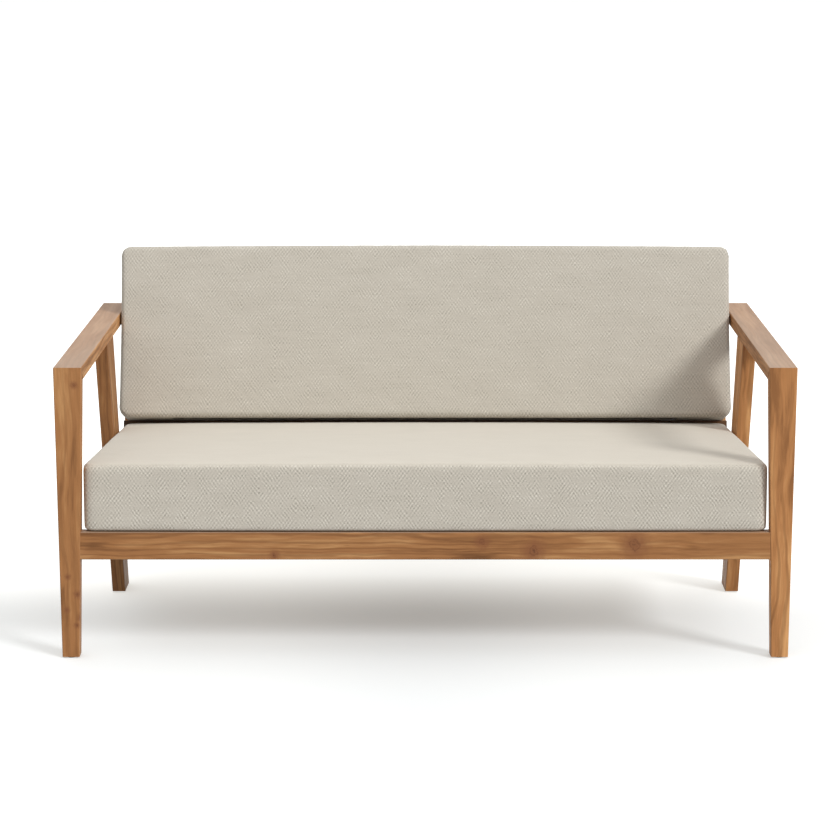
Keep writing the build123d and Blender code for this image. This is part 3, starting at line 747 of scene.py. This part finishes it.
@dataclass
class TimberFrame:
    """The boards of the seat frame, the arms and the slatted back."""

    recline: float = math.radians(19.0)
    seat_fall: float = math.radians(4.2)
    rear_leg_rake: float = math.radians(7.0)
    slats: int = 6
    back_slats: int = 9
    finish: OiledWood = OiledWood()
    first_seed: int = 3
    # Painted light and shade on the legs, left and right: the left legs are kept darker as on the shaded
    # side, the right ones brightened as on the lit side.
    front_leg_light_tones: Span = (1.04, 1.30)
    rear_leg_light_tones: Span = (0.80, 1.22)
    # The back ledge is darkened as painted shade, for the deep shade of the gap between the cushions.
    ledge_painted_shade_tone: float = 0.28
    rail_knots: tuple[Triple, ...] = (
        (0.230, 0.236, 1.15), (0.4435, 0.251, 1.3), (0.120, 0.256, 0.7), (-0.320, 0.2275, 0.5)
    )
    left_leg_knots: tuple[Triple, ...] = (
        (-0.7324, 0.595, 0.35), (-0.758, 0.180, 0.3), (-0.738, 0.141, 0.4),
        (-0.762, 0.107, 0.3), (-0.733, 0.090, 0.4), (-0.742, 0.073, 0.3),
    )

    def boards(self) -> list[Board]:
        """Lists the boards with their grain, lean, tone and knots; the tones paint light and shade on the
        legs and the back ledge.

        Returns:
            The boards, in the order that numbers their figures.
        """
        boards = [
            Board("front_rail", Grain.ACROSS, knots=self.knots(self.rail_knots)),
            Board("rear_rail", Grain.ACROSS, self.seat_fall),
            Board("corner_blocks", Grain.ACROSS),
        ]
        boards += [Board(f"back_{name}", Grain.ACROSS) for name in ("top_rail", "bottom_rail")]
        # Painted shade: the ledge's wood is darkened.
        boards.append(Board("back_ledge", Grain.ACROSS, tone=self.ledge_painted_shade_tone))
        boards += [Board(f"seat_slat_{row + 1}", Grain.ACROSS) for row in range(self.slats)]
        for row in range(self.back_slats):
            boards.append(Board(f"back_slat_{row + 1}", Grain.UPRIGHT, self.recline))
        leg_knots = (self.knots(self.left_leg_knots), ())
        # The per-side tones paint light and shade on the legs.
        sides = zip(("left", "right"), self.front_leg_light_tones, self.rear_leg_light_tones, leg_knots)
        for side, front_light_tone, rear_light_tone, knots in sides:
            boards += [
                Board(f"front_leg_{side}", Grain.UPRIGHT, tone=front_light_tone, knots=knots),
                Board(f"rear_leg_{side}", Grain.UPRIGHT, -self.rear_leg_rake, rear_light_tone),
                Board(f"armrest_{side}", Grain.DEPTH),
                Board(f"back_stile_{side}", Grain.UPRIGHT, self.recline),
            ]
            falling = ("side_rail", "seat_bearer", "seat_cleat")
            boards += [Board(f"{name}_{side}", Grain.DEPTH, self.seat_fall) for name in falling]
        return boards

    def knots(self, places: tuple[Triple, ...]) -> tuple[Knot, ...]:
        """Knots on the front of the frame.

        Args:
            places: How far right, how high and how large each knot is.

        Returns:
            The knots.
        """
        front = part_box("front_rail")[0].y
        return tuple(Knot(Vector((x, front, z)), reach) for x, z, reach in places)

    def dress(self, nodes: dict[str, bpy.types.Object]) -> None:
        """Gives each board wood with a figure of its own.

        Args:
            nodes: The frame's CAD nodes.
        """
        for seed, board in enumerate(self.boards(), self.first_seed):
            put_on(nodes[board.node], self.finish.make(board, seed))


def put_on(piece: bpy.types.Object, material: bpy.types.Material) -> None:
    """Gives a piece one material in place of all it has.

    Args:
        piece: The piece.
        material: The material.
    """
    piece.data.materials.clear()
    piece.data.materials.append(material)


@dataclass
class Cushion:
    """A boxed foam cushion: its cover is cut from the CAD cover's outside, then swells and is sewn.

    Its own frame has X along its width and Z through its thickness, and Y runs to the back on the
    seat and up along the recline on the back.
    """

    name: str
    origin: Vector
    turn: float
    rest_on: Span
    crown_contrast: float
    # The cloth's colours are multiplied by tone; below 1 it paints shade.
    tone: float
    softness: int
    growth: Triple
    cloth: WovenCloth = WovenCloth()
    voxel: float = 0.006
    slack: float = 0.0010
    cap: float = 0.0060
    pressure: float = 4.0
    steps: int = 20
    flat_share: float = 0.97
    evening: int = 60
    wrinkle_share: float = 0.10
    swell_shares: Triple = (0.2, 0.2, 1.0)
    settling: float = 0.024
    flare: float = 0.0
    edge_reach: float = 0.013
    groove_width: float = 0.0024
    groove_depth: float = 0.0007
    pucker: float = 0.0004
    pucker_pitch: float = 0.041
    pucker_drift_pitch: float = 0.173
    pucker_drift: float = 2.0
    crown_blend: float = 0.08
    size: np.ndarray = field(init=False)
    place: Matrix = field(init=False)

    def __post_init__(self) -> None:
        """Works out where the cushion's own frame lies."""
        self.place = Matrix.Translation(self.origin) @ Matrix.Rotation(self.turn, 4, "X")

    def build(self, nodes: dict[str, bpy.types.Object]) -> bpy.types.Object:
        """Makes the cushion, dresses it and lets it ride on its body.

        Args:
            nodes: The frame's CAD nodes.

        Returns:
            The cushion.
        """
        piece = self.cut(nodes[f"{self.name}_cover"])
        self.swell(piece)
        self.refine(piece)
        self.sew(piece)
        self.fit(piece)
        self.lay_weave(piece)
        piece.data.transform(self.place)
        put_on(piece, self.cloth.make(f"herringbone_{self.name}", self.crown_contrast, self.tone))
        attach(piece, self.name)
        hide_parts(*[f"{self.name}_{layer}" for layer in ("cover", "wrap", "foam")])
        return piece

    def cut(self, cover: bpy.types.Object) -> bpy.types.Object:
        """Takes the CAD cover's outer skin and makes it an even mesh in the cushion's own frame.

        Args:
            cover: The CAD cover.

        Returns:
            The new piece, a little smaller than the cover.
        """
        skin = bmesh.new()
        skin.from_mesh(cover.data)
        bmesh.ops.remove_doubles(skin, verts=skin.verts, dist=1e-5)
        outermost = max(skin.verts, key=lambda vertex: vertex.co.x)
        outside = {outermost}
        reached = [outermost]
        while reached:
            for edge in reached.pop().link_edges:
                for vertex in edge.verts:
                    if vertex not in outside:
                        outside.add(vertex)
                        reached.append(vertex)
        bmesh.ops.delete(skin, geom=[v for v in skin.verts if v not in outside], context="VERTS")
        mesh = bpy.data.meshes.new(f"{self.name}_pad")
        skin.to_mesh(mesh)
        skin.free()
        mesh.transform(self.place.inverted())
        outline = np.array([vertex.co for vertex in mesh.vertices])
        self.size = np.array([outline.min(axis=0), outline.max(axis=0)])
        piece = bpy.data.objects.new(f"{self.name}_pad", mesh)
        bpy.context.scene.collection.objects.link(piece)
        only(piece)
        mesh.remesh_voxel_size = self.voxel * 1.0
        bpy.ops.object.voxel_remesh()
        slack = self.slack
        self.move(piece, -slack * rows(piece.data.vertices, "normal"))
        return piece

    def move(self, piece: bpy.types.Object, shift: np.ndarray) -> None:
        """Moves the piece's points, and keeps the cushion out of what it rests on.

        Args:
            piece: The cushion.
            shift: How far each point moves.
        """
        moved = rows(piece.data.vertices, "co") + shift
        moved[:, 2] = np.maximum(moved[:, 2], self.rest_on[0])
        moved[:, 1] = np.maximum(moved[:, 1], self.rest_on[1])
        piece.data.vertices.foreach_set("co", moved.ravel())
        piece.data.update()

    def swell(self, piece: bpy.types.Object) -> None:
        """Lets the filling press the cover out, as cloth under pressure, while the foam holds its edges.

        Args:
            piece: The cushion.
        """
        scene = bpy.context.scene
        held = piece.vertex_groups.new(name="held")
        steepest = np.abs(rows(piece.data.vertices, "normal")).max(axis=1)
        held.add(np.flatnonzero(steepest < self.flat_share).tolist(), 1.0, "REPLACE")
        cloth = piece.modifiers.new("swell", "CLOTH")
        cloth.settings.vertex_group_mass = held.name
        cloth.settings.quality = 3
        cloth.settings.use_pressure = True
        cloth.settings.uniform_pressure_force = self.pressure
        cloth.settings.effector_weights.gravity = 0.0
        cloth.point_cache.frame_start = 1
        cloth.point_cache.frame_end = self.steps
        for frame in range(1, self.steps + 1):
            scene.frame_set(frame)
        swollen = piece.evaluated_get(bpy.context.evaluated_depsgraph_get()).to_mesh()
        pressed = rows(swollen.vertices, "co")
        piece.modifiers.clear()
        shift = pressed - rows(piece.data.vertices, "co")
        LOG.info("%s swells by up to %.1f mm", self.name, 1000 * np.abs(shift).max())
        shift = np.clip(shift, -self.cap, self.cap) * self.swell_shares
        broad = self.evened(piece, shift)
        self.move(piece, broad + self.wrinkle_share * (shift - broad))
        piece.vertex_groups.clear()
        scene.frame_set(1)

    def evened(self, piece: bpy.types.Object, shift: np.ndarray) -> np.ndarray:
        """Evens a field of moves out over neighbouring points, so that only its broad forms stay.

        Args:
            piece: The cushion.
            shift: How far each point moves.

        Returns:
            The broad moves.
        """
        ends = np.empty(len(piece.data.edges) * 2, dtype=np.int64)
        piece.data.edges.foreach_get("vertices", ends)
        here = np.concatenate((ends[0::2], ends[1::2]))
        there = np.concatenate((ends[1::2], ends[0::2]))
        neighbours = np.bincount(here, minlength=len(shift))[:, None]
        for _ in range(self.evening):
            moves = shift[there].T
            sums = [np.bincount(here, weights=move, minlength=len(shift)) for move in moves]
            shift = 0.5 * shift + 0.5 * np.column_stack(sums) / neighbours
        return shift

    def fit(self, piece: bpy.types.Object) -> None:
        """Scales the cushion to the cover's size with some growth and flare, and settles its underside.

        Args:
            piece: The cushion.
        """
        points = rows(piece.data.vertices, "co")
        low, high = points.min(axis=0), points.max(axis=0)
        growth = np.array(self.growth)
        wanted_low = self.size[0] - growth * (1.0, 0.0, 0.0)
        wanted = wanted_low + (points - low) / (high - low) * (self.size[1] + growth - wanted_low)
        along = (wanted[:, 1] - self.size[0][1]) / (self.size[1][1] - self.size[0][1])
        wanted[:, 0] *= 1.0 + self.flare * (1.0 - along)
        share = np.clip((wanted[:, 2] - self.rest_on[0]) / self.settling, 0.0, 1.0)
        wanted[:, 2] -= np.maximum(wanted[:, 2] - self.rest_on[0], 0.0) * (1.0 - share) ** 2
        self.move(piece, wanted - points)

    def refine(self, piece: bpy.types.Object) -> None:
        """Evens the skin out and subdivides it once.

        Args:
            piece: The cushion.
        """
        only(piece)
        even = piece.modifiers.new("even", "SMOOTH")
        even.factor = 0.5
        even.iterations = self.softness
        bpy.ops.object.modifier_apply(modifier=even.name)
        finer = piece.modifiers.new("finer", "SUBSURF")
        finer.levels = finer.render_levels = 1
        bpy.ops.object.modifier_apply(modifier=finer.name)
        piece.data.shade_smooth()

    def sew(self, piece: bpy.types.Object) -> None:
        """Draws the cover in along the two seams of its boxing, with small puckers beside them.

        Args:
            piece: The cushion.
        """
        points, normals = [rows(piece.data.vertices, name) for name in ("co", "normal")]
        tilt = np.arccos(np.clip(normals[:, 2], -1.0, 1.0))
        off_seam = np.abs(np.abs(tilt - math.pi / 2) - math.pi / 4) * self.edge_reach
        groove = np.exp(-((off_seam / self.groove_width) ** 2))
        beside = np.exp(-((off_seam / (3 * self.groove_width)) ** 2)) - groove
        run = points[:, 0] + points[:, 1]
        drift = self.pucker_drift * np.sin(run * 2 * math.pi / self.pucker_drift_pitch)
        ripple = np.sin(run * 2 * math.pi / self.pucker_pitch + drift)
        inward = -self.groove_depth * groove + self.pucker * ripple * beside
        crown = 1.0 / (1.0 + np.exp((tilt - math.pi / 4) / self.crown_blend))
        # The seam attribute also carries the painted shade of the grooves into the cloth's colour.
        for name, values in (("seam", groove), ("crown", crown)):
            attribute = piece.data.attributes.new(name, "FLOAT", "POINT")
            attribute.data.foreach_set("value", values.astype(np.float32))
        self.move(piece, normals * inward[:, None])

    def lay_weave(self, piece: bpy.types.Object) -> None:
        """Lays each panel's weave straight along it, as a UV map in metres.

        Args:
            piece: The cushion.
        """
        mesh = piece.data
        corners = np.empty(len(mesh.loops), dtype=np.int64)
        mesh.loops.foreach_get("vertex_index", corners)
        counts = np.empty(len(mesh.polygons), dtype=np.int64)
        mesh.polygons.foreach_get("loop_total", counts)
        facing = np.repeat(np.abs(rows(mesh.polygons, "normal")), counts, axis=0)
        level = facing[:, 2] > math.cos(math.pi / 4)
        end = ~level & (facing[:, 0] > facing[:, 1])
        at = rows(mesh.vertices, "co")[corners]
        u = np.where(end, at[:, 1], at[:, 0])
        v = np.where(level, at[:, 1], at[:, 2])
        mesh.uv_layers.new(name="weave").data.foreach_set("uv", np.column_stack((u, v)).ravel())


@dataclass
class ZipFastener:
    """A moulded zip on a cushion's boxing: a flat tape with two rows of teeth."""

    cushion: Cushion
    facing: float
    tooth_pitch: float = 0.0025
    tooth_width: float = 0.00104
    tooth_height: float = 0.0034
    tooth_rounding: float = 0.0002
    tape_thickness: float = 0.0004
    finish: SmallPartFinish = SmallPartFinish(
        (0.060, 0.053, 0.045), (0.110, 0.098, 0.083), metallic=0.0, roughness=0.6, scale=1200.0
    )

    def build(self, nodes: dict[str, bpy.types.Object]) -> bpy.types.Object:
        """Makes the zip in place of the plain CAD strip.

        Args:
            nodes: The frame's CAD nodes.

        Returns:
            The zip.
        """
        name = f"{self.cushion.name}_zip"
        local = self.cushion.place.inverted()
        strip = np.array([local @ vertex.co for vertex in nodes[name].data.vertices])
        low, high = strip.min(axis=0), strip.max(axis=0)
        middle = Vector((low + high) / 2)
        tape = self.tape(middle, Vector(high - low))
        teeth = self.teeth(middle, Vector(high - low))
        only(tape, teeth)
        bpy.ops.object.join()
        tape.name = f"{name}_teeth"
        tape.data.transform(self.cushion.place)
        put_on(tape, self.finish.make(f"zip_{self.cushion.name}"))
        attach(tape, self.cushion.name)
        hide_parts(name)
        return tape

    def tape(self, middle: Vector, size: Vector) -> bpy.types.Object:
        """Makes the flat tape on the boxing.

        Args:
            middle: The strip's middle.
            size: The strip's size.

        Returns:
            The tape.
        """
        seat = middle - Vector((0, self.facing * (size.y - self.tape_thickness) / 2, 0))
        return self.block(seat, (size.x, self.tape_thickness, size.z), self.tape_thickness / 3)

    def block(self, place: Vector, size: Triple, rounding: float) -> bpy.types.Object:
        """Makes a block with its edges eased.

        Args:
            place: Its middle.
            size: Its size along each axis.
            rounding: How far its edges are cut back.

        Returns:
            The block.
        """
        bpy.ops.object.select_all(action="DESELECT")
        bpy.ops.mesh.primitive_cube_add(size=1, location=place, scale=size)
        block = bpy.context.object
        bpy.ops.object.transform_apply(location=True, rotation=False, scale=True)
        bevel = block.modifiers.new("ease", "BEVEL")
        bevel.width = rounding
        bevel.segments = 1
        bpy.ops.object.modifier_apply(modifier=bevel.name)
        return block

    def teeth(self, middle: Vector, size: Vector) -> bpy.types.Object:
        """Makes the rows of teeth, which mesh in turn from above and below.

        Args:
            middle: The strip's middle.
            size: The strip's size.

        Returns:
            The teeth.
        """
        start = Vector((middle.x - size.x / 2 + self.tooth_pitch, middle.y, middle.z))
        both = []
        for row in (-1, 1):
            aside = (row * self.tooth_pitch / 4, self.facing * self.tape_thickness / 2, row * size.z / 12)
            size_of_one = (self.tooth_width, size.y - self.tape_thickness, self.tooth_height)
            tooth = self.block(start + Vector(aside), size_of_one, self.tooth_rounding)
            run = tooth.modifiers.new("run", "ARRAY")
            run.use_relative_offset = False
            run.use_constant_offset = True
            run.constant_offset_displace = (self.tooth_pitch, 0, 0)
            run.count = int(size.x / self.tooth_pitch) - 1
            bpy.ops.object.modifier_apply(modifier=run.name)
            both.append(tooth)
        only(*both)
        bpy.ops.object.join()
        return both[0]


@dataclass
class Fittings:
    """The screws, loose tenons, glides and zip sliders, whose CAD shapes stay."""

    kinds: tuple[tuple[Fitting, tuple[str, ...]], ...] = (
        (Fitting.STEEL, ("leg_screws", "arm_screws", "cleat_screws")),
        (Fitting.SLIDER, ("seat_cushion_zip_slider", "back_cushion_zip_slider")),
        (Fitting.PLASTIC, ("foot_glides",)),
        (Fitting.JOINERY, ("mitre_tenons", "frame_tenons", "ledge_tenons")),
    )

    def dress(self, nodes: dict[str, bpy.types.Object]) -> None:
        """Gives each fitting its finish.

        Args:
            nodes: The frame's CAD nodes.
        """
        for kind, names in self.kinds:
            material = FITTING_FINISHES[kind].make(kind.value)
            for name in names:
                put_on(nodes[name], material)


@dataclass
class Studio:
    """The pale floor, the white surroundings, the key light and the camera."""

    floor_size: float = 60.0
    floor_seen: Colour = (0.620, 0.650, 0.675)
    floor_bounce: Colour = (0.41, 0.41, 0.41)
    # The glow is painted light: it is weakest under the seat, which paints the floor's shadow there, and
    # its warm colour paints that shadow warm.
    glow_colour: Colour = (1.0, 0.985, 0.93)
    glow_aside: tuple[float, ...] = (0.0, 0.45, 0.33, 0.41)
    glow_behind: tuple[float, ...] = (-0.12, 0.30, 0.0, 0.36)
    sky_level: float = 0.20
    sky_overhead: float = 1.13
    sky_colour: Colour = (1.0, 1.0, 1.0)
    key_from: Vector = field(default_factory=lambda: Vector((1.09, -0.87, 1.0)))
    key_strength: float = 1.70
    key_spread: float = math.radians(15)
    key_colour: Colour = (1.0, 0.985, 0.96)
    camera_place: Vector = field(default_factory=lambda: Vector((0.0, -5.310, 1.602)))
    camera_pitch: float = math.radians(77.55)
    camera_lens: float = 102.86
    camera_shift: float = -0.0063

    def build(self) -> None:
        """Makes all of it."""
        self.make_floor()
        self.make_surroundings()
        self.make_key_light()
        self.make_camera()

    def make_floor(self) -> None:
        """Lays the floor, which bounces less light than it shows, and glows aside and behind; the glow is
        painted light, least under the seat, which paints the shadow there, and warm, which paints that
        shadow warm.
        """
        bpy.ops.object.select_all(action="DESELECT")
        bpy.ops.mesh.primitive_plane_add(size=self.floor_size, location=(0, 0, 0))
        floor = bpy.context.object
        floor.name = "studio_floor"
        recipe = Recipe("studio_floor")
        seen = recipe.seen()
        place = recipe.parts(recipe.objects_own())
        # Painted light: the glow rises away from the seat's middle and towards the back.
        aside = recipe.ramp(recipe.math("ABSOLUTE", place["X"]), *self.glow_aside)
        glow = recipe.math("ADD", aside, recipe.ramp(place["Y"], *self.glow_behind))
        material = recipe.finish(
            Base_Color=recipe.blend(seen, self.floor_bounce, self.floor_seen),
            Roughness=0.9,
            Specular_IOR_Level=0.0,
            Emission_Color=self.glow_colour,
            Emission_Strength=recipe.math("MULTIPLY", seen, glow),
        )
        put_on(floor, material)

    def make_surroundings(self) -> None:
        """Sets white surroundings that light the object softly, mostly from overhead."""
        world = bpy.data.worlds.new("studio")
        bpy.context.scene.world = world
        sky = Nodes(world)
        height = sky.parts(sky.node("ShaderNodeTexCoord").outputs["Generated"])["Z"]
        lit = sky.ramp(height, 0.0, 1.0, self.sky_level, self.sky_overhead, steps="LINEAR")
        strength = sky.ramp(sky.seen(), 0.0, 1.0, lit, 1.0, steps="LINEAR")
        glow = sky.node("ShaderNodeBackground", {"Color": self.sky_colour, "Strength": strength})
        sky.node("ShaderNodeOutputWorld", {"Surface": glow.outputs["Background"]})

    def make_key_light(self) -> None:
        """Hangs the soft key light, above on the right and in front."""
        lamp = bpy.data.lights.new("key", "SUN")
        lamp.energy = self.key_strength
        lamp.angle = self.key_spread
        lamp.color = self.key_colour
        holder = bpy.data.objects.new("key", lamp)
        holder.rotation_euler = self.key_from.to_track_quat("Z", "Y").to_euler()
        bpy.context.scene.collection.objects.link(holder)

    def make_camera(self) -> None:
        """Sets the camera at the photograph's angle."""
        eye = bpy.data.cameras.new("photo_view")
        eye.lens = self.camera_lens
        eye.shift_x = self.camera_shift
        holder = bpy.data.objects.new("photo_view", eye)
        holder.location = self.camera_place
        holder.rotation_euler = (self.camera_pitch, 0.0, 0.0)
        bpy.context.scene.collection.objects.link(holder)
        bpy.context.scene.camera = holder


def corners(box: tuple[Vector, Vector]) -> list[list[float]]:
    """A box's two corners as plain lists.

    Args:
        box: The lowest and the highest corner.

    Returns:
        The two corners, each of three numbers.
    """
    return [[float(number) for number in corner] for corner in box]


def main() -> None:
    """Builds and dresses the loveseat, and sets it in the studio."""
    logging.basicConfig(level=logging.INFO, format="%(name)s: %(message)s")
    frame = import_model()
    nodes = frame["nodes"]
    bpy.context.scene.view_settings.view_transform = "Standard"
    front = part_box("front_leg_left")[0].y
    timber = TimberFrame()
    timber.dress(nodes)
    LOG.info("dressed %d boards", len(timber.boards()))
    Fittings().dress(nodes)
    seat = Cushion(
        name="seat_cushion",
        origin=Vector((0, front, 0.2792)),
        turn=-timber.seat_fall,
        rest_on=(0.0003, -1.0),
        crown_contrast=0.20,
        tone=1.0,
        softness=12,
        growth=(0.0006, 0.0, 0.005),
        flare=0.0020,
    )
    back = Cushion(
        name="back_cushion",
        origin=Vector((0, front + 0.683, 0.363)),
        turn=math.pi / 2 - timber.recline,
        rest_on=(0.0003, 0.0),
        crown_contrast=0.60,
        # The back cushion's cloth is toned darker than the seat's as painted shade, for the lesser light
        # on the back.
        tone=0.87,
        softness=7,
        growth=(0.0022, 0.009, 0.003),
    )
    for cushion, facing in ((seat, 1.0), (back, -1.0)):
        piece = cushion.build(nodes)
        LOG.info("%s has %d faces", piece.name, len(piece.data.polygons))
        fastener = ZipFastener(cushion, facing).build(nodes)
        LOG.info("%s has %d faces", fastener.name, len(fastener.data.polygons))
    Studio().build()


if __name__ == "__main__":
    main()
